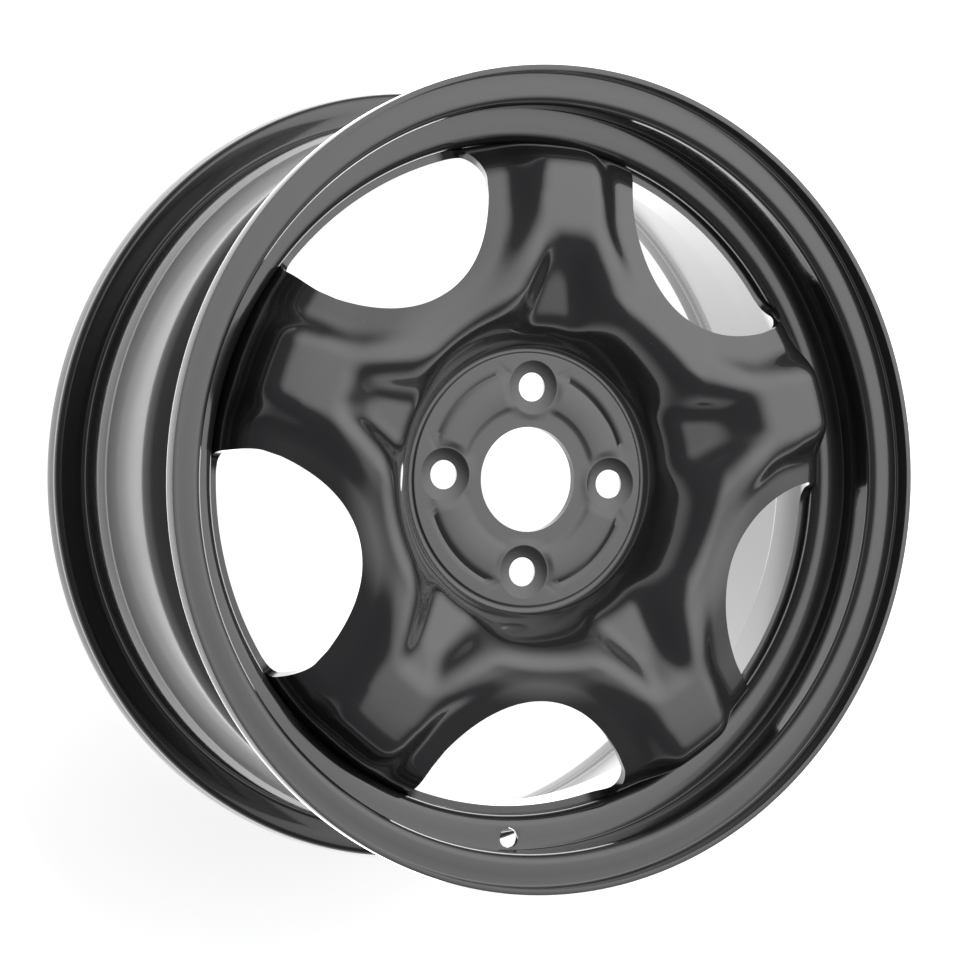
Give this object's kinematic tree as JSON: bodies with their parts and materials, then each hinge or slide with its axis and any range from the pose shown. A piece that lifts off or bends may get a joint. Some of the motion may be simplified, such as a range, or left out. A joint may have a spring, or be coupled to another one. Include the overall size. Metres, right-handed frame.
{
  "type": "steel wheel rim",
  "caption": "Black painted pressed-steel car wheel: a rolled drop-centre rim welded to a stamped five-spoke disc with a hub bore, bolt holes and a valve hole.",
  "frame": {"origin": "centre of the wheel's mounting face, where it seats on the hub", "axes": "+Z along the wheel's axle, outboard; one spoke points along +Y and the valve hole lies towards -Y"},
  "size_m": [0.4402, 0.44, 0.19],
  "materials": {
    "black_paint": "gloss"
  },
  "bodies": {
    "root": {"rim": "black_paint", "disc": "black_paint", "weld_beads": "black_paint"}
  },
  "joints": []
}
